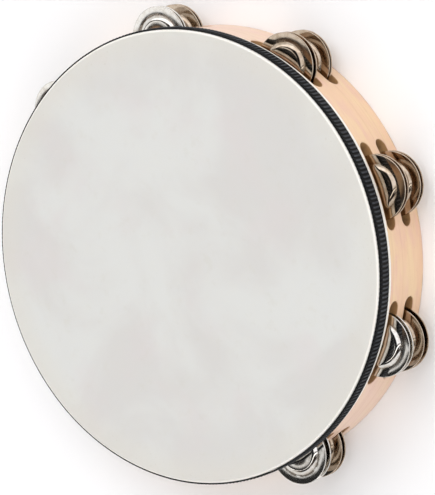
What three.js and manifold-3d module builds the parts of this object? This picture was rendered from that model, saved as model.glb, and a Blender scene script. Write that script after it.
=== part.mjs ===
import * as THREE from 'three';
import { mergeVertices } from 'three/addons/utils/BufferGeometryUtils.js';
import Module from 'manifold-3d';

// A tambourine with two rows of paired jingles, in millimetres.
// It lies on its open rim: the hoop's axis is +Z, z = 0 is the rim's plane and the head is on top.

const wasm = await Module();
wasm.setup();

// The bentwood hoop.
const HOOP_RADIUS = 127;
const HOOP_WALL = 6;
const EDGE_BEVEL = 0.8;

// The stack of bands up the hoop's wall, from the open rim to the head. The slots lie between them.
const RIM_BAND = 9;
const ROW_WEB = 7.2;
const HEAD_BAND = 2.1;
const SKIRT_DEPTH = 12.6;

// The skin, stretched over the hoop and folded down outside it, and the braid that covers the fold.
// The braid's upper edge stays below the head, and the skin's edge shows below the braid.
const SKIN = 0.5;
const SHOULDER_RADIUS = 1.6;
const BRAID_THICKNESS = 1;
const BRAID_DROP = 0.7;
const SKIRT_SHOWING = 2.8;

// A jingle: a pressed disc with a flat-topped boss and a loose hole for its pin.
const JINGLE_RADIUS = 18;
const BOSS_RADIUS = 12.6;
const CROWN_RADIUS = 9.4;
const CROWN_RISE = 1.6;
const JINGLE_SHEET = 0.8;
const JINGLE_HOLE_PLAY = 1;

// Where the jingles sit: the spaces round the hoop, all of them stations but the one left plain as the grip,
// the free length past a jingle at each end of its slot, and the play that a slot leaves a pair along the pin.
const SPACES = 9;
const STATIONS = SPACES - 1;
const GRIP_ANGLE = THREE.MathUtils.degToRad(305);
const SLOT_END_ROOM = 7;
const PAIR_PLAY = 4.4;

// How far each pair stands open, as a share of its play: [rim row, head row], station by station.
const PAIR_OPENINGS = [
  [0.58, 0.9],
  [0.88, 0.62],
  [0.46, 0.46],
  [0.28, 0.64],
  [0.34, 0.34],
  [0.54, 0.42],
  [0.38, 0.6],
  [0.68, 0.32],
];

// The pins, one for both rows of a station, driven in from the open rim.
const PIN_RADIUS = 1.1;
const PIN_HEAD_RADIUS = 1.9;
const PIN_HEAD_HEIGHT = 1;
const PIN_HEAD_SINK = 0.3;
const PIN_BITE = 5;
const PIN_POINT = 2.4;

// The gap between two pieces that touch.
const FIT_GAP = 0.2;

// Facets round the hoop, a jingle and a pin, and the steps of a rounded edge and of a slot's end.
const HOOP_FACETS = 72;
const JINGLE_FACETS = 16;
const PIN_FACETS = 12;
const EDGE_STEPS = 3;
const SLOT_END_STEPS = 3;

// Worked out from the sizes above.
const hoopInner = HOOP_RADIUS - HOOP_WALL;
const pinCircle = HOOP_RADIUS - HOOP_WALL / 2;
const jingleHeight = CROWN_RISE + JINGLE_SHEET;
const slotHeight = 2 * jingleHeight + PAIR_PLAY;
const slotHalfLength = JINGLE_RADIUS + SLOT_END_ROOM;
const rowCentres = {
  rim: RIM_BAND + slotHeight / 2,
  head: RIM_BAND + slotHeight + ROW_WEB + slotHeight / 2,
};
const slotsTop = rowCentres.head + slotHeight / 2;
const hoopHeight = slotsTop + HEAD_BAND + SKIRT_DEPTH;
const pinTip = slotsTop + PIN_BITE;
const skinInner = HOOP_RADIUS + FIT_GAP;
const skinOuter = skinInner + SKIN;
const headTop = hoopHeight + FIT_GAP + SKIN;
const skirtBottom = hoopHeight - SKIRT_DEPTH;
const hang = new THREE.Vector3(JINGLE_HOLE_PLAY - FIT_GAP, 0, 0);

const UP = new THREE.Vector3(0, 0, 1);

const materials = {
  maple: new THREE.MeshStandardMaterial({ color: 0xefcba4, roughness: 0.45, metalness: 0 }),
  skin: new THREE.MeshStandardMaterial({ color: 0xdedcd7, roughness: 0.6, metalness: 0 }),
  braid: new THREE.MeshStandardMaterial({ color: 0x16191d, roughness: 0.85, metalness: 0 }),
  nickel: new THREE.MeshStandardMaterial({ color: 0xd8d6d2, roughness: 0.12, metalness: 1 }),
  steel: new THREE.MeshStandardMaterial({ color: 0x9c9a96, roughness: 0.35, metalness: 1 }),
};

// A quarter round of the given radius, from the angle `from`, as profile points.
function quarterRound(centreRadius, centreHeight, radius, from) {
  const points = [];
  for (let step = 0; step <= EDGE_STEPS; step += 1) {
    const angle = from + (Math.PI / 2) * (step / EDGE_STEPS);
    points.push([centreRadius + radius * Math.cos(angle), centreHeight + radius * Math.sin(angle)]);
  }
  return points;
}

// A profile of [radius, height] points turned about +Z. The points run anticlockwise.
function turned(profile, facets) {
  const points = profile.map(([radius, height]) => new THREE.Vector2(radius, height));
  return new THREE.LatheGeometry(points, facets).rotateX(Math.PI / 2);
}

// A closed geometry as a solid that can be cut.
function toSolid(geometry) {
  const bare = geometry.clone();
  bare.deleteAttribute('normal');
  bare.deleteAttribute('uv');
  const merged = mergeVertices(bare);
  return new wasm.Manifold(new wasm.Mesh({
    numProp: 3,
    vertProperties: new Float32Array(merged.attributes.position.array),
    triVerts: new Uint32Array(merged.index.array),
  }));
}

function toGeometry(solid) {
  const mesh = solid.getMesh();
  const geometry = new THREE.BufferGeometry();
  geometry.setAttribute('position', new THREE.BufferAttribute(mesh.vertProperties, 3));
  geometry.setIndex(new THREE.BufferAttribute(mesh.triVerts, 1));
  geometry.computeVertexNormals();
  return geometry;
}

// The round-ended cutter of one slot, at the station on +X.
function slotCutter(centreHeight) {
  const half = slotHeight / 2;
  const reach = slotHalfLength - half;
  const outline = new THREE.Shape();
  outline.absarc(reach, 0, half, -Math.PI / 2, Math.PI / 2, false);
  outline.absarc(-reach, 0, half, Math.PI / 2, 1.5 * Math.PI, false);
  const cutter = new THREE.ExtrudeGeometry(outline, {
    depth: HOOP_RADIUS,
    bevelEnabled: false,
    curveSegments: SLOT_END_STEPS,
  });
  const along = new THREE.Vector3(0, 1, 0);
  const outward = new THREE.Vector3(1, 0, 0);
  cutter.applyMatrix4(new THREE.Matrix4().makeBasis(along, UP, outward));
  return cutter.translate(HOOP_RADIUS / 2, 0, centreHeight);
}

// A round hole up from below the rim, at the station on +X, that ends at the height `top`.
function pinHoleCutter(radius, top) {
  const below = PIN_HEAD_HEIGHT;
  const cutter = new THREE.CylinderGeometry(radius, radius, top + below, PIN_FACETS);
  return cutter.rotateX(Math.PI / 2).translate(pinCircle, 0, (top - below) / 2);
}

function hoopGeometry() {
  const woodRound = SHOULDER_RADIUS - SKIN - FIT_GAP;
  let wood = toSolid(turned([
    [hoopInner, EDGE_BEVEL],
    [hoopInner + EDGE_BEVEL, 0],
    [HOOP_RADIUS - EDGE_BEVEL, 0],
    [HOOP_RADIUS, EDGE_BEVEL],
    ...quarterRound(HOOP_RADIUS - woodRound, hoopHeight - woodRound, woodRound, 0),
    [hoopInner + EDGE_BEVEL, hoopHeight],
    [hoopInner, hoopHeight - EDGE_BEVEL],
    [hoopInner, EDGE_BEVEL],
  ], HOOP_FACETS));
  const cutters = [
    slotCutter(rowCentres.rim),
    slotCutter(rowCentres.head),
    pinHoleCutter(PIN_RADIUS + FIT_GAP, pinTip + FIT_GAP),
    pinHoleCutter(PIN_HEAD_RADIUS + FIT_GAP, PIN_HEAD_SINK + PIN_HEAD_HEIGHT + FIT_GAP),
  ];
  for (let station = 0; station < STATIONS; station += 1) {
    for (const cutter of cutters) {
      wood = wood.subtract(toSolid(cutter.clone().rotateZ(stationAngle(station))));
    }
  }
  return toGeometry(wood);
}

function headGeometry() {
  const innerRound = SHOULDER_RADIUS - SKIN;
  const outside = quarterRound(skinOuter - SHOULDER_RADIUS, headTop - SHOULDER_RADIUS, SHOULDER_RADIUS, 0);
  const inside = quarterRound(skinInner - innerRound, headTop - SHOULDER_RADIUS, innerRound, 0);
  return turned([
    [0, headTop - SKIN],
    ...inside.reverse(),
    [skinInner, skirtBottom],
    [skinOuter, skirtBottom],
    ...outside,
    [0, headTop],
  ], HOOP_FACETS);
}

function braidGeometry() {
  const inner = skinOuter + FIT_GAP;
  const outer = inner + BRAID_THICKNESS;
  const bottom = skirtBottom + SKIRT_SHOWING;
  const top = headTop - BRAID_DROP;
  return turned([[inner, bottom], [outer, bottom], [outer, top], [inner, top], [inner, bottom]], HOOP_FACETS);
}

// A jingle with its flange's inner face on z = 0 and its boss rising along +Z.
function jingleGeometry() {
  const bossSlope = Math.atan2(CROWN_RISE, BOSS_RADIUS - CROWN_RADIUS);
  const bend = JINGLE_SHEET * Math.tan(bossSlope / 2);
  const hole = PIN_RADIUS + JINGLE_HOLE_PLAY;
  return turned([
    [hole, CROWN_RISE],
    [CROWN_RADIUS - bend, CROWN_RISE],
    [BOSS_RADIUS - bend, 0],
    [JINGLE_RADIUS, 0],
    [JINGLE_RADIUS, JINGLE_SHEET],
    [BOSS_RADIUS, JINGLE_SHEET],
    [CROWN_RADIUS, jingleHeight],
    [hole, jingleHeight],
    [hole, CROWN_RISE],
  ], JINGLE_FACETS);
}

function pinGeometry() {
  const headBottom = PIN_HEAD_SINK;
  const neck = headBottom + PIN_HEAD_HEIGHT;
  return turned([
    [0, headBottom],
    [PIN_HEAD_RADIUS, headBottom],
    [PIN_HEAD_RADIUS, neck],
    [PIN_RADIUS, neck],
    [PIN_RADIUS, pinTip - PIN_POINT],
    [0, pinTip],
  ], PIN_FACETS);
}

// Where a station stands, counted anticlockwise from the grip.
function stationAngle(station) {
  return GRIP_ANGLE + (2 * Math.PI * (station + 1)) / SPACES;
}

function piece(name, geometry, material) {
  const mesh = new THREE.Mesh(geometry, material);
  mesh.name = name;
  return mesh;
}

// The two jingles of one row at one station, flange to flange with their bosses outward.
// Every pair hangs from its pin by the far side of its holes, along +X, as on a drum that stands on its edge.
function jinglePair(station, row, opening, geometry) {
  const pair = new THREE.Group();
  const lower = piece(`jingle_${station + 1}_${row}_lower`, geometry, materials.nickel);
  const upper = piece(`jingle_${station + 1}_${row}_upper`, geometry, materials.nickel);
  lower.rotation.x = Math.PI;
  lower.position.z = -opening / 2;
  upper.position.z = opening / 2;
  pair.add(lower, upper);
  pair.position.copy(hang).applyAxisAngle(UP, -stationAngle(station));
  pair.position.z = rowCentres[row];
  return pair;
}

const group = new THREE.Group();
group.add(piece('hoop', hoopGeometry(), materials.maple));
group.add(piece('drum_head', headGeometry(), materials.skin));
group.add(piece('head_braid', braidGeometry(), materials.braid));

const jingle = jingleGeometry();
const pin = pinGeometry();
PAIR_OPENINGS.forEach(([rimShare, headShare], station) => {
  const place = new THREE.Group();
  place.position.set(pinCircle, 0, 0);
  place.add(piece(`jingle_pin_${station + 1}`, pin, materials.steel));
  place.add(jinglePair(station, 'rim', rimShare * PAIR_PLAY, jingle));
  place.add(jinglePair(station, 'head', headShare * PAIR_PLAY, jingle));
  const spoke = new THREE.Group();
  spoke.rotation.z = stationAngle(station);
  spoke.add(place);
  group.add(spoke);
});

export default group;
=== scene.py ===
"""A tambourine: bentwood hoop, stretched head, ribbed braid and two rows of paired jingles on pins."""
import math
import random

import bmesh
import bpy
import numpy as np
from mathutils import Matrix, Vector


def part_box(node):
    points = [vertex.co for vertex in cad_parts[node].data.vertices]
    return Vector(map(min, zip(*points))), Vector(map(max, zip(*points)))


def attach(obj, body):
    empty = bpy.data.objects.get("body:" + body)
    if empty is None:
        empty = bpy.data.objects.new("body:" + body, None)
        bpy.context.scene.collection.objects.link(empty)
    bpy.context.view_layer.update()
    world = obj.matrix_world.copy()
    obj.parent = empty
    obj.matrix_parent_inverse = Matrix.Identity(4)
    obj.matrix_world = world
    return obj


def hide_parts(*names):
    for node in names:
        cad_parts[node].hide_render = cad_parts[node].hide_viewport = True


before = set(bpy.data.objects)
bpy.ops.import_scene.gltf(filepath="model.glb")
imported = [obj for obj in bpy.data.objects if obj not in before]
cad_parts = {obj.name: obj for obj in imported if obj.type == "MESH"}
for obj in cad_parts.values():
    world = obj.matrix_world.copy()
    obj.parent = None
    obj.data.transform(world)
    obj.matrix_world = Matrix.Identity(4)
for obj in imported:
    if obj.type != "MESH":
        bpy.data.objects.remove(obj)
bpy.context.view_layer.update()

rng = random.Random(7)
noise_rng = np.random.default_rng(11)
MM = 0.001

# Sizes that the boxes of the CAD nodes don't give.
SLOT_HEIGHT = 9.2 * MM
SLOT_LENGTH = 50 * MM
SLOT_EASE = 0.45 * MM
RIM_ROUND = 1.1 * MM
TOP_ROUND = 0.9 * MM
SKIN = 0.5 * MM
SHOULDER_RADIUS = 1.6 * MM
JINGLE_RADIUS = 18 * MM
SHEET = 0.8 * MM
BOSS_RADIUS = 12.6 * MM
JINGLE_HOLE = 2.1 * MM
WALL_TOP_RADIUS = 10.9 * MM
SHOULDER_PRESS = 4.5 * MM
FOOT_PRESS = 0.6 * MM
DISH = 0.14 * MM
PIN_RADIUS = 1.1 * MM
PIN_HEAD_RADIUS = 1.9 * MM
PIN_HEAD_HEIGHT = 1 * MM
PIN_POINT = 2.4 * MM
FIT_GAP = 0.2 * MM
PIN_HEAD_ROUND = 0.3 * MM
RIB_PITCH = 2.4 * MM
BRAID_SCALLOP = 0.12 * MM
HEM_DEPTH = 3 * MM
HEM_WAVE = 0.22 * MM

# Where the hoop's glue joint is, and how far it leans over the hoop's height, in radians.
GLUE_JOINT = math.radians(205)
GLUE_JOINT_SLANT = 0.27

# The stations whose jingles all take the browner plate: partly tarnish, partly painted brown
# reflection.
BROWNER_STATIONS = (3, 4, 7)

# How finely each mesh is divided.
HEAD_SEGMENTS = 432
HEAD_RINGS = 26
SKIRT_ROWS = 4
SHOULDER_STEPS = 10
SHOULDER_INNER_STEPS = 6
LIP_STEPS = 4
JINGLE_SEGMENTS = 128
PRESS_STEPS = 12
TIP_STEPS = 8
PIN_SEGMENTS = 32
RIB_COLUMNS = 10
BRAID_ROWS = 21
ARC_STEPS = 8
STRAIGHT_STEPS = 26
SOLID_STEPS = 9
EDGE_STEPS = 4
FLAT_STEPS = 4
BAND_STEPS = (6, 6, 9)

# Places and sizes that follow from the frame.
STATIONS = sum(name.startswith("jingle_pin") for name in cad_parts)
SIDES = ("lower", "upper")
ROWS = ("rim", "head")
hoop_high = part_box("hoop")[1]
HOOP_RADIUS = hoop_high.x
HOOP_HEIGHT = hoop_high.z
head_low, head_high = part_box("drum_head")
braid_low, braid_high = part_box("head_braid")


def middle(node):
    """The middle of a CAD node's box."""
    low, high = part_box(node)
    return (low + high) / 2


# One space round the hoop is left plain as the grip: the one before the first station.
SPACES = STATIONS + 1
pin_places = [middle(f"jingle_pin_{k + 1}") for k in range(STATIONS)]
STATION_ANGLES = [math.atan2(p.y, p.x) for p in pin_places]
GRIP_ANGLE = STATION_ANGLES[0] - 2 * math.pi / SPACES
PIN_CIRCLE = Vector(pin_places[0][:2]).length
HOOP_WALL = 2 * (HOOP_RADIUS - PIN_CIRCLE)
ROW_CENTRES = [
    (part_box(f"jingle_1_{row}_lower")[0].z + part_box(f"jingle_1_{row}_upper")[1].z) / 2
    for row in ROWS
]


# ---------------------------------------------------------------- mesh helpers


def arc(centre, radius, start, end, steps):
    """Points of a circular arc as (radius, height), between two angles in degrees."""
    angles = np.radians(np.linspace(start, end, steps + 1))
    return [(centre[0] + radius * math.cos(a), centre[1] + radius * math.sin(a)) for a in angles]


def revolved(profile, segments, closed=False):
    """Vertices and faces of a (radius, height) profile turned about +Z, with a pole at the axis."""
    verts, rings = [], []
    for radius, height in profile:
        if radius < 1e-9:
            rings.append([len(verts)])
            verts.append((0, 0, height))
            continue
        rings.append(list(range(len(verts), len(verts) + segments)))
        for k in range(segments):
            angle = 2 * math.pi * k / segments
            verts.append((radius * math.cos(angle), radius * math.sin(angle), height))
    faces = []
    following = rings[1:] + rings[:1] if closed else rings[1:]
    for low, high in zip(rings, following):
        for k in range(segments):
            n = (k + 1) % segments
            corners = [low[k % len(low)], low[n % len(low)], high[n % len(high)], high[k % len(high)]]
            face = list(dict.fromkeys(corners))
            if len(face) > 2:
                faces.append(face)
    return verts, faces


def mesh_from(name, verts, faces):
    mesh = bpy.data.meshes.new(name)
    mesh.from_pydata([tuple(v) for v in verts], [], [tuple(f) for f in faces])
    mesh.update()
    mesh.validate()
    return mesh


def faces_out(mesh, merge=0.0):
    """Joins vertices closer than merge, turns every face outward and shades the mesh smooth."""
    work = bmesh.new()
    work.from_mesh(mesh)
    if merge:
        bmesh.ops.remove_doubles(work, verts=work.verts, dist=merge)
    bmesh.ops.recalc_face_normals(work, faces=work.faces)
    work.to_mesh(mesh)
    work.free()
    mesh.polygons.foreach_set("use_smooth", [True] * len(mesh.polygons))
    return mesh


def piece(name, mesh, body, node, place=None):
    """An object that rides on a body and stands for a CAD node."""
    made = bpy.data.objects.new(name, mesh)
    bpy.context.scene.collection.objects.link(made)
    if place:
        made.matrix_world = place
    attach(made, body)
    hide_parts(node)
    return made


# ---------------------------------------------------------------- material helpers


def add(tree, kind, inputs=None, **settings):
    """A shader node. inputs maps a socket's name or number to a value or to another node's output."""
    made = tree.nodes.new("ShaderNode" + kind)
    for key, value in settings.items():
        setattr(made, key, value)
    for key, value in (inputs or {}).items():
        if isinstance(value, bpy.types.NodeSocket):
            tree.links.new(value, made.inputs[key])
        else:
            made.inputs[key].default_value = value
    return made


def maths(tree, operation, *values):
    return add(tree, "Math", dict(enumerate(values)), operation=operation).outputs[0]


def noise(tree, vector, scale, detail=4.0, roughness=0.55, distortion=0.0):
    inputs = {
        "Vector": vector,
        "Scale": scale,
        "Detail": detail,
        "Roughness": roughness,
        "Distortion": distortion,
    }
    return add(tree, "TexNoise", inputs).outputs["Fac"]


def stretched_noise(tree, vector, scale, *settings):
    """Noise with a scale of its own along each axis."""
    vector = add(tree, "VectorMath", {0: vector, 1: scale}, operation="MULTIPLY").outputs[0]
    return noise(tree, vector, 1.0, *settings)


def from_axis(tree, split):
    """The distance from the Z axis of a place split into X, Y and Z."""
    across = add(tree, "CombineXYZ", {0: split[0], 1: split[1]}).outputs[0]
    return add(tree, "VectorMath", {0: across}, operation="LENGTH").outputs["Value"]


def pointing(tree, way, direction):
    """How far a unit vector points in a direction, from -1 to 1."""
    return add(tree, "VectorMath", {0: way, 1: direction}, operation="DOT_PRODUCT").outputs["Value"]


def band(tree, value, low, high):
    """0 below low, 1 above high and smooth between."""
    inputs = {"Value": value, "From Min": low, "From Max": high}
    return add(tree, "MapRange", inputs, interpolation_type="SMOOTHSTEP").outputs["Result"]


def mixed(tree, factor, under, over):
    """A colour mix. Sockets 6 and 7 are the Mix node's two colours, and output 2 is the result."""
    return add(tree, "Mix", {0: factor, 6: under, 7: over}, data_type="RGBA").outputs[2]


def laid(tree, under, over, value, low, high, share=1.0):
    """One colour laid over another as value goes from low to high, up to this share."""
    factor = band(tree, value, low, high)
    if share < 1:
        factor = maths(tree, "MULTIPLY", factor, share)
    return mixed(tree, factor, under, over)


def rgb(red, green, blue):
    """An sRGB colour of 0 to 255 as a linear one with alpha."""
    parts = [c / 255 for c in (red, green, blue)]
    return tuple(c / 12.92 if c <= 0.04045 else ((c + 0.055) / 1.055) ** 2.4 for c in parts) + (1,)


def material(name):
    """A new material with its node tree and its shader."""
    made = bpy.data.materials.new(name)
    made.use_nodes = True
    tree = made.node_tree
    tree.nodes.clear()
    shader = add(tree, "BsdfPrincipled")
    output = add(tree, "OutputMaterial", {"Surface": shader.outputs[0]})
    output.is_active_output = True
    return made, tree, shader


def drive(tree, shader, **sockets):
    """Links outputs to the shader's sockets."""
    for name, source in sockets.items():
        tree.links.new(source, shader.inputs[name.replace("_", " ")])


def fixed(shader, **sockets):
    """Sets values that are the same all over the surface on the shader's own sockets."""
    for name, value in sockets.items():
        shader.inputs[name.replace("_", " ")].default_value = value


def bump(tree, height, strength, distance, base=None):
    inputs = {"Height": height, "Strength": strength, "Distance": distance}
    if base:
        inputs["Normal"] = base
    return add(tree, "Bump", inputs).outputs[0]


# ---------------------------------------------------------------- materials


MAPLE_FACE = {
    "pale": rgb(231, 199, 159),
    "warm": rgb(229, 191, 157),
    "blush": rgb(226, 182, 164),
    "pink": rgb(226, 196, 182),
    "streak": rgb(198, 150, 114),
}
# The cut wood inside the slots: partly the raw cut grain's own colour, partly painted shade in the slot
# recesses.
MAPLE_CUT_AND_SLOT_SHADE = {
    "pale": rgb(194, 154, 106),
    "warm": rgb(182, 140, 96),
    "blush": rgb(170, 124, 84),
    "pink": rgb(176, 134, 98),
    "streak": rgb(128, 90, 56),
}
PORE = rgb(150, 104, 66)
GLUE_LINE = rgb(120, 78, 45)
SCUFF = rgb(168, 134, 104)
PINK_TURNS = 3
PINK_PHASE = 4.19


def maple(name, pale, warm, blush, pink, streak, wear):
    """Lacquered maple, its grain round the hoop. The mesh's grain attribute is (arc, height, depth)."""
    made, tree, shader = material(name)
    grain = add(tree, "Attribute", attribute_name="grain").outputs["Vector"]
    split = add(tree, "SeparateXYZ", {0: grain}).outputs
    drift = stretched_noise(tree, grain, (26, 70, 90), 3, 0.5, 0.3)
    patches = stretched_noise(tree, grain, (48, 120, 160), 4, 0.6, 0.4)
    fibres = stretched_noise(tree, grain, (60, 1100, 1100), 4, 0.6)
    lines = stretched_noise(tree, grain, (9, 330, 330), 3, 0.5, 0.8)
    pores = stretched_noise(tree, grain, (420, 2600, 2600), 1, 0.3)
    turn = maths(tree, "MULTIPLY_ADD", split[0], PINK_TURNS / HOOP_RADIUS, PINK_PHASE)
    rose = maths(tree, "MULTIPLY_ADD", drift, 0.8, maths(tree, "COSINE", turn))
    seam = maths(tree, "ABSOLUTE", split[0])
    tone = laid(tree, pale, warm, drift, 0.38, 0.62)
    tone = laid(tree, tone, blush, patches, 0.46, 0.66, 0.6)
    tone = laid(tree, tone, pink, rose, 0.3, 1.4, 0.5)
    tone = laid(tree, tone, streak, lines, 0.5, 0.7, 0.2)
    tone = laid(tree, tone, streak, fibres, 0.48, 0.75, 0.2)
    tone = laid(tree, tone, PORE, pores, 0.74, 0.8, 0.5)
    tone = laid(tree, tone, GLUE_LINE, seam, 0.34 * MM, 0.12 * MM, 0.75)
    rim = band(tree, split[1], 2.2 * MM, 0.3 * MM)
    scuffs = band(tree, stretched_noise(tree, grain, (90, 420, 420), 4), 0.42, 0.66)
    worn = maths(tree, "MULTIPLY", maths(tree, "MULTIPLY", rim, scuffs), wear)
    rough = maths(tree, "MULTIPLY_ADD", fibres, 0.2, maths(tree, "MULTIPLY_ADD", worn, 0.3, 0.3))
    relief = bump(tree, maths(tree, "ADD", fibres, lines), 0.22, 0.06 * MM)
    drive(tree, shader, Base_Color=mixed(tree, worn, tone, SCUFF), Roughness=rough, Normal=relief)
    fixed(shader, Coat_Weight=0.3, Coat_Roughness=0.2, Specular_IOR_Level=0.4)
    return made


def skin_material():
    """Off-white drum skin, faintly mottled, with a painted highlight: a brighter cream edge where it's
    drawn over the hoop.
    """
    made, tree, shader = material("drum_skin")
    place = add(tree, "TexCoord").outputs["Object"]
    radius = from_axis(tree, add(tree, "SeparateXYZ", {0: place}).outputs)
    cloud = noise(tree, place, 16, 4, 0.5, 0.5)
    tint = noise(tree, place, 22, 3, 0.5, 0.3)
    mottle = noise(tree, place, 130, 4, 0.6)
    grit = noise(tree, place, 900, 3, 0.6)
    specks = noise(tree, place, 620, 2, 0.4)
    near_rim = band(tree, radius, 0.84 * HOOP_RADIUS, 0.99 * HOOP_RADIUS)
    flecks = maths(tree, "MULTIPLY", band(tree, specks, 0.66, 0.74), near_rim)
    tone = laid(tree, rgb(214, 214, 210), rgb(208, 206, 202), cloud, 0.38, 0.64)
    tone = laid(tree, tone, rgb(211, 204, 202), tint, 0.5, 0.7, 0.45)
    tone = laid(tree, tone, rgb(203, 200, 190), mottle, 0.55, 0.75, 0.25)
    tone = mixed(tree, maths(tree, "MULTIPLY", flecks, 0.35), tone, rgb(178, 170, 156))
    tone = mixed(tree, maths(tree, "MULTIPLY", near_rim, 0.5), tone, rgb(214, 210, 200))
    # Painted highlight: the shoulder and the hem below the braid are a brighter cream, as if catching
    # the light.
    tone = laid(tree, tone, rgb(240, 236, 228), radius, HOOP_RADIUS - 0.9 * MM, HOOP_RADIUS)
    rough = maths(tree, "MULTIPLY_ADD", mottle, 0.2, 0.42)
    relief = bump(tree, mottle, 0.15, 0.1 * MM, bump(tree, grit, 0.12, 0.05 * MM))
    drive(tree, shader, Base_Color=tone, Roughness=rough, Normal=relief)
    fixed(shader, Subsurface_Weight=0.12, Subsurface_Scale=1.5 * MM, Subsurface_Radius=(1.0, 0.8, 0.6))
    fixed(shader, Specular_IOR_Level=0.3)
    return made


def braid_material():
    """Black rayon braid with a painted highlight on its rib crests, brighter in patches. The weave
    attribute is (arc, height, rib height).
    """
    made, tree, shader = material("black_braid")
    weave = add(tree, "Attribute", attribute_name="weave").outputs["Vector"]
    split = add(tree, "SeparateXYZ", {0: weave}).outputs
    place = add(tree, "TexCoord").outputs["Object"]
    threads = stretched_noise(tree, weave, (5200, 700, 0), 3, 0.6)
    patches = noise(tree, place, 90, 3)
    # Painted highlight: the rib crests are a lighter blue grey than the black braid, and lighter still
    # in patches.
    crest_highlight = band(tree, split[2], 0.76, 0.97)
    crest_highlight_patches = maths(tree, "MULTIPLY", band(tree, patches, 0.5, 0.75), maths(tree, "MULTIPLY", crest_highlight, 0.5))
    tone = mixed(tree, crest_highlight, rgb(9, 9, 10), rgb(66, 69, 74))
    tone = laid(tree, tone, rgb(12, 12, 14), threads, 0.42, 0.62, 0.7)
    tone = mixed(tree, crest_highlight_patches, tone, rgb(84, 88, 94))
    rough = maths(tree, "MULTIPLY_ADD", threads, 0.25, 0.6)
    relief = bump(tree, threads, 0.5, 0.1 * MM)
    drive(tree, shader, Base_Color=tone, Roughness=rough, Normal=relief)
    fixed(shader, Sheen_Weight=0.08, Sheen_Roughness=0.4, Specular_IOR_Level=0.14)
    return made


def nickel(name, bright, dull):
    """Polished plate: turned lines round the disc, fine scratches and tarnish at the boss's foot."""
    made, tree, shader = material(name)
    place = add(tree, "TexCoord").outputs["Object"]
    split = add(tree, "SeparateXYZ", {0: place}).outputs
    radius = from_axis(tree, split)
    angle = maths(tree, "ARCTAN2", split[1], split[0])
    rings = add(tree, "CombineXYZ", {0: maths(tree, "MULTIPLY", radius, 2600), 1: angle}).outputs[0]
    turned = noise(tree, rings, 1.0, 2, 0.5)
    haze = noise(tree, place, 260, 4, 0.6)
    scratch = stretched_noise(tree, place, (2400, 120, 1), 2, 0.6, 0.8)
    foot = maths(tree, "ABSOLUTE", maths(tree, "SUBTRACT", radius, BOSS_RADIUS + 0.4 * MM))
    foot = band(tree, foot, 1.3 * MM, 0.1 * MM)
    dirt = maths(tree, "MULTIPLY", foot, band(tree, haze, 0.35, 0.65))
    tone = laid(tree, bright, dull, haze, 0.35, 0.7)
    tone = mixed(tree, maths(tree, "MULTIPLY", dirt, 0.5), tone, rgb(120, 98, 74))
    scuffed = maths(tree, "MULTIPLY", band(tree, scratch, 0.62, 0.74), 0.1)
    rough = maths(tree, "MULTIPLY_ADD", haze, 0.09, maths(tree, "ADD", scuffed, 0.03))
    rough = maths(tree, "MULTIPLY_ADD", dirt, 0.2, rough)
    ripple = bump(tree, noise(tree, place, 70, 2), 0.06, 0.5 * MM)
    relief = bump(tree, turned, 0.05, 0.03 * MM, ripple)
    drive(tree, shader, Base_Color=tone, Roughness=rough, Normal=relief)
    fixed(shader, Metallic=1.0)
    return made


def steel():
    """Plain drawn wire with fine lines along it and darker spots."""
    made, tree, shader = material("pin_steel")
    place = add(tree, "TexCoord").outputs["Object"]
    drawn = stretched_noise(tree, place, (1800, 1800, 60), 3)
    spots = noise(tree, place, 900, 3)
    tone = laid(tree, rgb(178, 176, 172), rgb(128, 120, 110), spots, 0.5, 0.75)
    rough = maths(tree, "MULTIPLY_ADD", drawn, 0.3, 0.22)
    relief = bump(tree, drawn, 0.2, 0.03 * MM)
    drive(tree, shader, Base_Color=tone, Roughness=rough, Normal=relief)
    fixed(shader, Metallic=1.0)
    return made


# ---------------------------------------------------------------- hoop


def slot_columns():
    """The columns of one station's sheet from end to end of its slots, and the solid wood's arc places.

    A column is its arc place before the slot's end rounds, and its turn along a round in degrees."""
    reach = (SLOT_LENGTH - SLOT_HEIGHT) / 2
    tip = reach + SLOT_HEIGHT / 2 + SLOT_EASE
    edge = math.pi * HOOP_RADIUS / SPACES
    right = [(reach, 90 * k / ARC_STEPS) for k in range(1, ARC_STEPS + 1)]
    straight = [(s, 0.0) for s in np.linspace(-reach, reach, STRAIGHT_STEPS + 1)]
    left = [(-reach, -turn) for _, turn in reversed(right)]
    solid = list(np.linspace(tip, edge, SOLID_STEPS + 1)[1:])
    return left + straight + right, solid


def boundary(column, radius):
    """(arc, half height) of a slot column for a slot whose end rounds have this radius."""
    centre, turn = column
    return centre + radius * math.sin(math.radians(turn)), radius * math.cos(math.radians(turn))


def wrapped(points, middle_angle):
    """(arc, height, depth) points wrapped round the hoop about an angle."""
    out = []
    for s, z, depth in points:
        angle = middle_angle + s / HOOP_RADIUS
        radius = HOOP_RADIUS - depth
        out.append((radius * math.cos(angle), radius * math.sin(angle), z))
    return out


def grid(rows):
    """Points and quads of a list of equally long rows."""
    points = [p for row in rows for p in row]
    width = len(rows[0])
    faces = []
    for r in range(len(rows) - 1):
        for c in range(width - 1):
            a = r * width + c
            faces.append((a, a + 1, a + width + 1, a + width))
    return points, faces


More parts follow.
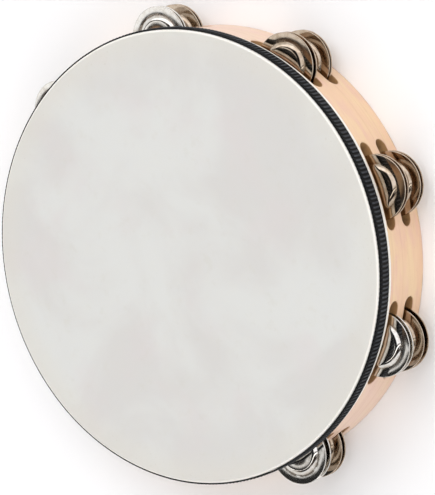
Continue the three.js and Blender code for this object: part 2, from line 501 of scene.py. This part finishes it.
def space_sheets(slotted):
    """The patches of one space: their (arc, height, depth) points, quads and if they are cut wood."""
    columns, solid = slot_columns()
    open_radius = SLOT_HEIGHT / 2 + SLOT_EASE
    edges = [boundary(c, open_radius) for c in columns]
    edges = [(-s, 0.0) for s in reversed(solid)] + edges + [(s, 0.0) for s in solid]
    if not slotted:
        edges = [(s, 0.0) for s, _ in edges]
    first, second = ROW_CENTRES
    bottom, top = RIM_ROUND, HOOP_HEIGHT - TOP_ROUND
    lows = ([bottom] * len(edges), [first + h for _, h in edges], [second + h for _, h in edges])
    highs = ([first - h for _, h in edges], [second - h for _, h in edges], [top] * len(edges))
    patches = []
    for depth in (0.0, HOOP_WALL):
        for low, high, steps in zip(lows, highs, BAND_STEPS):
            rows = []
            for k in range(steps + 1):
                share = k / steps
                heights = [a + (b - a) * share for a, b in zip(low, high)]
                rows.append([(s, z, depth) for (s, _), z in zip(edges, heights)])
            patches.append((*grid(rows), False))
    arcs = [s for s, _ in edges]
    patches.append((*grid(rim_rows(arcs, bottom, RIM_ROUND, 1)), False))
    patches.append((*grid(rim_rows(arcs, top, TOP_ROUND, -1)), False))
    if slotted:
        for centre in ROW_CENTRES:
            patches += slot_wall(columns, centre)
    return patches


def rim_rows(arcs, height, radius, sign):
    """Rows across the wall's edge: a round, a flat and a round. sign is 1 below and -1 on top."""
    profile = [(radius - radius * math.cos(a), height - sign * radius * math.sin(a))
               for a in np.linspace(0, math.pi / 2, EDGE_STEPS + 1)]
    depths = np.linspace(radius, HOOP_WALL - radius, FLAT_STEPS + 1)[1:-1]
    flat = [(d, height - sign * radius) for d in depths]
    profile = profile + flat + [(HOOP_WALL - d, z) for d, z in reversed(profile)]
    return [[(s, z, depth) for s in arcs] for depth, z in profile]


def slot_wall(columns, centre):
    """The wall of one slot: eased edges inside and out, and the cut wood between."""
    half = SLOT_HEIGHT / 2
    quarter = np.linspace(0, math.pi / 2, EDGE_STEPS + 1)
    ease = [(half + SLOT_EASE * (1 - math.sin(a)), SLOT_EASE * (1 - math.cos(a))) for a in quarter]
    inner = [(radius, HOOP_WALL - depth) for radius, depth in reversed(ease)]
    through = [(half, d) for d in np.linspace(SLOT_EASE, HOOP_WALL - SLOT_EASE, FLAT_STEPS + 1)]
    patches = []
    for profile, cut in ((ease, False), (through, True), (inner, False)):
        for side in (1, -1):
            rows = []
            for radius, depth in profile:
                spots = [boundary(c, radius) for c in columns]
                rows.append([(s, centre + side * h, depth) for s, h in spots])
            patches.append((*grid(rows), cut))
    return patches


def hoop_mesh():
    """The hoop from its slotted spaces and its plain one, before it is drilled."""
    verts, faces, cut_faces = [], [], []
    spaces = [(angle, True) for angle in STATION_ANGLES] + [(GRIP_ANGLE, False)]
    for angle, slotted in spaces:
        for points, quads, cut in space_sheets(slotted):
            start = len(verts)
            verts += wrapped(points, angle)
            faces += [tuple(start + k for k in quad) for quad in quads]
            cut_faces += [cut] * len(quads)
    mesh = mesh_from("hoop", verts, faces)
    mesh.polygons.foreach_set("material_index", [int(c) for c in cut_faces])
    return faces_out(mesh, merge=0.002 * MM)


def pin_hole_mesh():
    """The stepped holes of all the pins in one mesh: a mouth for the pin's head, then its shank."""
    mouth = PIN_HEAD_RADIUS + FIT_GAP
    shank = PIN_RADIUS + FIT_GAP
    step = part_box("jingle_pin_1")[0].z + PIN_HEAD_HEIGHT + FIT_GAP
    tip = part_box("jingle_pin_1")[1].z + FIT_GAP
    below = -2 * MM
    profile = [(0, below), (mouth, below), (mouth, step), (shank, step), (shank, tip), (0, tip)]
    points, quads = revolved(profile, PIN_SEGMENTS)
    verts, faces = [], []
    for place in pin_places:
        start = len(verts)
        verts += [(x + place.x, y + place.y, z) for x, y, z in points]
        faces += [tuple(start + k for k in quad) for quad in quads]
    return faces_out(mesh_from("pin_holes", verts, faces))


def set_grain(mesh):
    """Writes each corner's grain: arc round the hoop from the slanted glue joint, height, depth."""
    corner_count = len(mesh.loops)
    vertex = np.empty(corner_count, np.int32)
    mesh.loops.foreach_get("vertex_index", vertex)
    places = np.empty(len(mesh.vertices) * 3)
    mesh.vertices.foreach_get("co", places)
    places = places.reshape(-1, 3)[vertex]
    starts = np.array([p.loop_start for p in mesh.polygons])
    totals = np.array([p.loop_total for p in mesh.polygons])
    centres = np.array([tuple(p.center) for p in mesh.polygons])

    def turn(points):
        lean = GLUE_JOINT_SLANT * (points[:, 2] - HOOP_HEIGHT / 2) / HOOP_HEIGHT
        return (np.arctan2(points[:, 1], points[:, 0]) - GLUE_JOINT - lean) % (2 * math.pi)

    face_turn = np.repeat(turn(centres), totals)
    order = np.concatenate([np.arange(s, s + n) for s, n in zip(starts, totals)])
    near = np.empty(corner_count)
    near[order] = face_turn
    angle = turn(places)
    angle += 2 * math.pi * np.round((near - angle) / (2 * math.pi))
    radius = np.hypot(places[:, 0], places[:, 1])
    grain = np.stack([angle * HOOP_RADIUS, places[:, 2], HOOP_RADIUS - radius], 1)
    attribute = mesh.attributes.new("grain", "FLOAT_VECTOR", "CORNER")
    attribute.data.foreach_set("vector", grain.astype(np.float32).ravel())


def make_hoop():
    """The slotted hoop, drilled for its pins. Its second material is the cut wood inside the slots,
    darker partly for the cut grain's own colour and partly as painted shade in the slots.
    """
    mesh = hoop_mesh()
    mesh.materials.append(maple("maple", **MAPLE_FACE, wear=0.8))
    mesh.materials.append(maple("cut_maple_and_slot_shade", **MAPLE_CUT_AND_SLOT_SHADE, wear=0.3))
    blank = bpy.data.objects.new("hoop_blank", mesh)
    cutter = bpy.data.objects.new("pin_holes", pin_hole_mesh())
    for made in (blank, cutter):
        bpy.context.scene.collection.objects.link(made)
    drill = blank.modifiers.new("pin_holes", "BOOLEAN")
    drill.operation = "DIFFERENCE"
    drill.solver = "EXACT"
    drill.object = cutter
    bpy.context.view_layer.update()
    cut_blank = blank.evaluated_get(bpy.context.evaluated_depsgraph_get())
    drilled = bpy.data.meshes.new_from_object(cut_blank)
    for made in (blank, cutter):
        bpy.data.objects.remove(made)
    set_grain(drilled)
    piece("wood_hoop", drilled, "drum", "hoop")


# ---------------------------------------------------------------- head, braid, jingles and pins


def wave(angles, counts):
    """A smooth closed wave round the circle from -1 to 1: one sine of random phase for each count."""
    total = np.zeros_like(angles)
    for turns in counts:
        total += np.sin(turns * angles + noise_rng.uniform(0, 2 * math.pi)) / len(counts)
    return total


def make_head():
    """The skin: flat across, a rounded shoulder and a skirt whose hem wanders a little."""
    outer = head_high.x
    top = head_high.z
    round_centre = (outer - SHOULDER_RADIUS, top - SHOULDER_RADIUS)
    skirt = list(np.linspace(head_low.z, round_centre[1], SKIRT_ROWS + 1)[:-1])
    discs = list(np.linspace(0.0, round_centre[0], HEAD_RINGS))
    outside = [(outer, z) for z in skirt]
    outside += arc(round_centre, SHOULDER_RADIUS, 0, 90, SHOULDER_STEPS)
    outside += [(r, top) for r in reversed(discs[:-1])]
    inside = [(r, top - SKIN) for r in discs[:-1]]
    inside += arc(round_centre, SHOULDER_RADIUS - SKIN, 90, 0, SHOULDER_INNER_STEPS)
    inside += [(outer - SKIN, z) for z in reversed(skirt)]
    lip = arc((outer - SKIN / 2, head_low.z), SKIN / 2, 180, 360, LIP_STEPS)[1:-1]
    verts, faces = revolved(outside + inside + lip, HEAD_SEGMENTS, closed=True)
    verts = np.array(verts)
    angles = np.arctan2(verts[:, 1], verts[:, 0])
    hem = np.clip(1 - (verts[:, 2] - head_low.z) / HEM_DEPTH, 0, 1)
    verts[:, 2] += hem * HEM_WAVE * wave(angles, (3, 7, 13, 22, 41))
    mesh = faces_out(mesh_from("drum_head", verts, faces))
    mesh.materials.append(skin_material())
    head = piece("head_skin", mesh, "drum", "drum_head")


# The braid's section. Places are shares of its half width, and heights are shares of its thickness.
BRAID_EDGE = 0.06
CORD_PLACE = 0.86
CORD_WIDTH = 0.09
RIBS_END = 0.74
RIBS_FADE = 0.08
GROUND_HEIGHT = 0.3
RIB_HEIGHT = 0.7
CORD_HEIGHT = 0.3
CORD_TWIST = 0.12
EDGE_HEIGHT = 0.35
LEAST_HEIGHT = 0.1
BRAID_WIDTH_SHARE = 0.985
# The power shapes a rib's section. The rest are angles, where pi is one whole rib.
RIB_POWER = 1.2
RIB_CURVE = 0.3
RIB_LEAN = 0.15
RIB_WANDER = 0.35


def make_braid():
    """Curved ribs between two corded edges, round the whole hoop."""
    inner = head_high.x + FIT_GAP
    ribs = round(2 * math.pi * inner / RIB_PITCH)
    columns = ribs * RIB_COLUMNS
    across = np.concatenate([[-1.0], np.linspace(-0.97, 0.97, BRAID_ROWS), [1.0]])
    turn = 2 * np.pi * np.arange(columns) / columns
    u, v = np.meshgrid(turn, across, indexing="ij")
    ends = np.clip((1 - np.abs(v)) / BRAID_EDGE, 0, 1)
    cord = np.exp(-(((np.abs(v) - CORD_PLACE) / CORD_WIDTH) ** 2))
    field = np.clip((RIBS_END - np.abs(v)) / RIBS_FADE, 0, 1)
    lean = RIB_CURVE * np.cos(np.pi * v / 1.5) + RIB_LEAN * v
    uneven = RIB_WANDER * wave(turn, (9, 23, 51, 97))[:, None]
    rib = np.abs(np.cos((u * ribs) / 2 + lean + uneven)) ** RIB_POWER
    twist = 0.5 + 0.5 * np.cos(u * ribs + 4 * v)
    height = GROUND_HEIGHT + field * RIB_HEIGHT * rib + cord * (CORD_HEIGHT + CORD_TWIST * twist)
    height = height * (EDGE_HEIGHT + (1 - EDGE_HEIGHT) * ends)
    radius = inner + (braid_high.x - inner) * np.clip(height, LEAST_HEIGHT, 1)
    half = (braid_high.z - braid_low.z) / 2
    scallop = BRAID_SCALLOP * np.cos(u * ribs) * np.sign(v) * (np.abs(v) > 0.8)
    z = (braid_high.z + braid_low.z) / 2 + v * half * BRAID_WIDTH_SHARE + scallop
    front = np.stack([radius * np.cos(u), radius * np.sin(u), z], 2)
    back = np.stack([inner * np.cos(u), inner * np.sin(u), z], 2)[:, [0, -1]]
    loop = np.concatenate([front, back[:, ::-1]], 1)
    width = loop.shape[1]
    faces = []
    for c in range(columns):
        n = (c + 1) % columns
        for r in range(width):
            s = (r + 1) % width
            faces.append((c * width + r, n * width + r, n * width + s, c * width + s))
    mesh = mesh_from("head_braid", loop.reshape(-1, 3), faces)
    tall = np.concatenate([height, np.zeros((columns, 2))], 1)
    spot = np.concatenate([v, np.ones((columns, 1)), -np.ones((columns, 1))], 1)
    weave = np.stack([np.repeat(turn[:, None], width, 1) * inner, spot * half, tall], 2)
    attribute = mesh.attributes.new("weave", "FLOAT_VECTOR", "POINT")
    attribute.data.foreach_set("vector", weave.astype(np.float32).ravel())
    faces_out(mesh)
    mesh.materials.append(braid_material())
    piece("braid", mesh, "drum", "head_braid")


def eased(points, radii, steps):
    """A polyline of (radius, height) points with each inner corner rounded to its own radius."""
    out = [np.array(points[0])]
    for before, corner, after, radius in zip(points, points[1:], points[2:], radii):
        corner = np.array(corner)
        back = np.array(before) - corner
        ahead = np.array(after) - corner
        back /= np.linalg.norm(back)
        ahead /= np.linalg.norm(ahead)
        turn = math.acos(np.clip(back @ ahead, -1, 1))
        start = corner + back * radius / math.tan(turn / 2)
        end = corner + ahead * radius / math.tan(turn / 2)
        for k in range(steps + 1):
            t = k / steps
            out.append((1 - t) ** 2 * start + 2 * t * (1 - t) * corner + t * t * end)
    out.append(np.array(points[-1]))
    return out


def tip_round(tip, start, steps):
    """The half turn about a tip, clockwise from tip + start, without its two ends."""
    first = math.atan2(start[1], start[0])
    radius = math.hypot(*start)
    angles = [first - math.pi * k / steps for k in range(1, steps)]
    return [(tip[0] + radius * math.cos(a), tip[1] + radius * math.sin(a)) for a in angles]


def thickened(line, thickness, steps):
    """The closed outline of a sheet of this thickness about a line, with round ends."""
    line = np.array(line)
    along = np.gradient(line, axis=0)
    along /= np.linalg.norm(along, axis=1)[:, None]
    across = np.stack([-along[:, 1], along[:, 0]], 1) * thickness / 2
    outline = [tuple(p) for p in line + across]
    outline += tip_round(line[-1], across[-1], steps)
    outline += [tuple(p) for p in (line - across)[::-1]]
    return outline + tip_round(line[0], -across[0], steps)


def jingle_mesh():
    """A pressed disc, flange down: a flat-topped boss with a hole, and a slightly dished flange."""
    low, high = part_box("jingle_1_rim_upper")
    flange, crown = SHEET / 2, high.z - low.z - SHEET / 2
    corners = [
        (JINGLE_HOLE + SHEET / 2, crown),
        (WALL_TOP_RADIUS, crown - DISH),
        (BOSS_RADIUS, flange),
        (JINGLE_RADIUS - SHEET / 2, flange + DISH),
    ]
    line = eased(corners, (SHOULDER_PRESS, FOOT_PRESS), PRESS_STEPS)
    verts, faces = revolved(thickened(line, SHEET, TIP_STEPS), JINGLE_SEGMENTS, closed=True)
    return faces_out(mesh_from("jingle", verts, faces))


def make_jingles():
    """The pairs of the rim row, and of the stations listed above, take the browner plate: partly
    tarnish, partly painted brown reflection.
    """
    fresh = jingle_mesh()
    browner_mesh = fresh.copy()
    fresh.materials.append(nickel("nickel_plate", rgb(222, 219, 214), rgb(206, 200, 191)))
    # Browner plate: partly tarnish, partly a painted brown reflection like the brown mirrored in some
    # discs.
    browner_mesh.materials.append(nickel("tarnish_and_reflection_tinted_plate", rgb(192, 177, 160), rgb(172, 154, 134)))
    for station in range(1, STATIONS + 1):
        for row in ROWS:
            mesh = browner_mesh if row == "rim" or station in BROWNER_STATIONS else fresh
            for side in SIDES:
                node = f"jingle_{station}_{row}_{side}"
                low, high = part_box(node)
                centre = (low + high) / 2
                spin = Matrix.Rotation(rng.uniform(0, 2 * math.pi), 4, "Z")
                if side == "upper":
                    place = Matrix.Translation((centre.x, centre.y, low.z)) @ spin
                else:
                    flip = Matrix.Rotation(math.pi, 4, "X")
                    place = Matrix.Translation((centre.x, centre.y, high.z)) @ flip @ spin
                piece(f"disc_{station}_{row}_{side}", mesh, node, node, place=place)


def make_pins():
    """Wire nails with a slightly domed head and a blunt point, all from one mesh."""
    low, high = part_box("jingle_pin_1")
    neck = low.z + PIN_HEAD_HEIGHT
    edge = (PIN_HEAD_RADIUS - PIN_HEAD_ROUND, low.z + PIN_HEAD_ROUND + 0.1 * MM)
    profile = [(0, low.z), (PIN_HEAD_RADIUS * 0.55, low.z + 0.04 * MM)]
    profile += arc(edge, PIN_HEAD_ROUND, -90, 90, 6)
    profile += [(PIN_RADIUS + 0.25 * MM, neck), (PIN_RADIUS, neck + 0.3 * MM)]
    profile += [(PIN_RADIUS, z) for z in np.linspace(neck + 1 * MM, high.z - PIN_POINT, 12)]
    profile += [(PIN_RADIUS * 0.45, high.z - PIN_POINT * 0.4), (0, high.z)]
    verts, faces = revolved(profile, PIN_SEGMENTS)
    mesh = faces_out(mesh_from("pin", verts, faces))
    mesh.materials.append(steel())
    for k, place in enumerate(pin_places):
        spin = Matrix.Rotation(rng.uniform(0, 2 * math.pi), 4, "Z")
        where = Matrix.Translation((place.x, place.y, 0)) @ spin
        piece(f"pin_{k + 1}", mesh, "drum", f"jingle_pin_{k + 1}", place=where)


# ---------------------------------------------------------------- camera, floor and light

CAMERA_AZIMUTH = 149.84
CAMERA_ELEVATION = 54.62
CAMERA_DISTANCE = 1.3134
CAMERA_LENS = 168.9
CAMERA_AIM = Vector((2.2, 5.8, 20.7)) * MM
UPRIGHT_TURN = 42.17
FLOOR_RINGS = (0, 0.5, 2, 8, 30)
FLOOR_SEGMENTS = 64


def bearing(azimuth, elevation):
    """The unit vector from the drum towards a place at these angles in degrees."""
    azimuth, elevation = math.radians(azimuth), math.radians(elevation)
    flat = math.cos(elevation)
    return Vector((math.sin(azimuth) * flat, -math.cos(azimuth) * flat, math.sin(elevation)))


def make_camera():
    """Looks at the head from one side, rolled so that the drum seems to stand on its edge."""
    back = bearing(CAMERA_AZIMUTH, CAMERA_ELEVATION)
    upright = Matrix.Rotation(math.radians(UPRIGHT_TURN), 3, "Z") @ Vector((0, 1, 0))
    right = upright.cross(back).normalized()
    data = bpy.data.cameras.new("camera")
    data.lens = CAMERA_LENS
    data.sensor_width = 36
    data.clip_start = 0.01
    data.clip_end = 100
    camera = bpy.data.objects.new("camera", data)
    bpy.context.scene.collection.objects.link(camera)
    turn = Matrix((right, back.cross(right), back)).transposed().to_4x4()
    camera.matrix_world = Matrix.Translation(CAMERA_AIM + back * CAMERA_DISTANCE) @ turn
    bpy.context.scene.camera = camera


def make_floor():
    """A wide, plain, nearly white floor, finer near the drum."""
    verts, faces = revolved([(radius, 0) for radius in FLOOR_RINGS], FLOOR_SEGMENTS)
    mesh = mesh_from("floor", verts, faces)
    made, tree, shader = material("floor_white")
    place = add(tree, "TexCoord").outputs["Object"]
    tone = mixed(tree, noise(tree, place, 3, 2), (0.93, 0.93, 0.93, 1), (0.96, 0.96, 0.96, 1))
    drive(tree, shader, Base_Color=tone)
    fixed(shader, Roughness=0.9, Specular_IOR_Level=0.1)
    mesh.materials.append(made)
    floor = bpy.data.objects.new("floor", mesh)
    bpy.context.scene.collection.objects.link(floor)


def softbox(name, azimuth, elevation, distance, size, power):
    """A soft lamp facing the drum. It isn't seen in reflections: the jingles mirror the world only."""
    data = bpy.data.lights.new(name, "AREA")
    data.shape = "RECTANGLE"
    data.size, data.size_y = size
    data.energy = power
    lamp = bpy.data.objects.new(name, data)
    bpy.context.scene.collection.objects.link(lamp)
    out = bearing(azimuth, elevation)
    lamp.location = out * distance
    lamp.rotation_mode = "QUATERNION"
    lamp.rotation_quaternion = out.to_track_quat("Z", "Y")
    lamp.visible_glossy = False


def ramp(tree, value, stops):
    """A colour that runs through (position, grey level or colour) stops as value goes from 0 to 1."""
    made = add(tree, "ValToRGB", {"Fac": value})
    elements = made.color_ramp.elements
    while len(elements) > 1:
        elements.remove(elements[-1])
    for place, tone in stops:
        stop = elements[0] if place == stops[0][0] else elements.new(place)
        stop.position = place
        stop.color = tone if isinstance(tone, tuple) else (tone, tone, tone, 1)
    return made.outputs["Color"]


# The studio's tones: linear colours, where 1 is the white of the cove.
WHITE = (1.0, 1.0, 1.0, 1)
COPPER = (0.48, 0.29, 0.17, 1)
OLIVE = (0.36, 0.28, 0.2, 1)
UMBER = (0.12, 0.08, 0.055, 1)
CEILING = (0.1, 0.095, 0.09, 1)
SHADE = (0.015, 0.015, 0.018, 1)
ZENITH = (0.02, 0.02, 0.022, 1)
SOFT_PANEL = (0.8, 0.8, 0.82, 1)
FRONT_PANEL = (1.35, 1.35, 1.4, 1)
BRIGHT_SIDE_PANEL = (1.9, 1.9, 1.95, 1)
DIM_SIDE_PANEL = (1.1, 1.1, 1.14, 1)
STRIP_LIGHT = (2.4, 2.4, 2.4, 1)
STRIP_PLACE = 0.3
WORLD_STRENGTH = 1.03

# The cards that the jingles' flat faces mirror towards the camera, from one side to the other.
MIRRORED_SPREAD = 0.16
CARDS = [
    (0.0, 1.2), (0.13, 1.0), (0.16, 0.02), (0.2, 0.03), (0.24, UMBER), (0.34, COPPER), (0.5, OLIVE),
    (0.6, UMBER), (0.67, 0.02), (0.77, 0.03), (0.81, 1.1), (0.88, 0.8), (0.92, 0.02), (1.0, 0.03),
]


def make_world():
    """A white cove under a dim ceiling with soft panels, and cards where the jingles mirror them."""
    world = bpy.data.worlds.new("studio")
    bpy.context.scene.world = world
    world.use_nodes = True
    tree = world.node_tree
    tree.nodes.clear()
    way = add(tree, "TexCoord").outputs["Generated"]
    rise = add(tree, "SeparateXYZ", {0: way}).outputs[2]
    panels = noise(tree, way, 5.5, 1, 0.4, 0.4)
    warm = noise(tree, way, 3.5, 1, 0.4)
    wander = noise(tree, way, 14, 2, 0.5)
    sweep = pointing(tree, way, bearing(CAMERA_AZIMUTH - 90, 0))
    toward = pointing(tree, way, bearing(CAMERA_AZIMUTH, 0))
    mirrored = pointing(tree, way, bearing(CAMERA_AZIMUTH + 180, CAMERA_ELEVATION))
    front = maths(tree, "MULTIPLY", band(tree, toward, 0.12, 0.2), band(tree, sweep, 0.24, 0.16))
    strip = maths(tree, "ABSOLUTE", maths(tree, "SUBTRACT", sweep, STRIP_PLACE))
    tone = laid(tree, UMBER, CEILING, warm, 0.4, 0.6)
    tone = laid(tree, tone, SHADE, panels, 0.5, 0.4)
    tone = laid(tree, tone, SOFT_PANEL, panels, 0.64, 0.74)
    tone = laid(tree, tone, ZENITH, rise, 0.9, 0.95)
    tone = mixed(tree, front, tone, FRONT_PANEL)
    tone = laid(tree, tone, BRIGHT_SIDE_PANEL, sweep, -0.44, -0.5)
    tone = laid(tree, tone, DIM_SIDE_PANEL, sweep, 0.58, 0.66)
    tone = laid(tree, tone, STRIP_LIGHT, strip, 0.04, 0.02)
    across = maths(tree, "MULTIPLY_ADD", maths(tree, "SUBTRACT", wander, 0.5), 0.12, sweep)
    spread = {"Value": across, "From Min": -MIRRORED_SPREAD, "From Max": MIRRORED_SPREAD}
    cards = ramp(tree, add(tree, "MapRange", spread).outputs["Result"], CARDS)
    tone = laid(tree, tone, cards, mirrored, 0.94, 0.97)
    edge = maths(tree, "MULTIPLY_ADD", maths(tree, "SUBTRACT", warm, 0.5), 0.3, rise)
    tone = laid(tree, WHITE, tone, edge, 0.5, 0.6)
    sky = add(tree, "Background", {"Color": tone, "Strength": WORLD_STRENGTH})
    add(tree, "OutputWorld", {"Surface": sky.outputs[0]})


def make_light():
    make_world()
    softbox("key", CAMERA_AZIMUTH + 60, 55, 1.8, (1.2, 1.2), 5.7)
    softbox("fill", CAMERA_AZIMUTH - 75, 50, 2.0, (1.4, 1.0), 4.3)
    softbox("top", CAMERA_AZIMUTH, 88, 2.0, (0.6, 0.6), 1.6)
    bpy.context.scene.view_settings.view_transform = "Standard"
    bpy.context.scene.view_settings.look = "None"


make_camera()
make_floor()
make_light()
make_hoop()
make_head()
make_braid()
make_jingles()
make_pins()
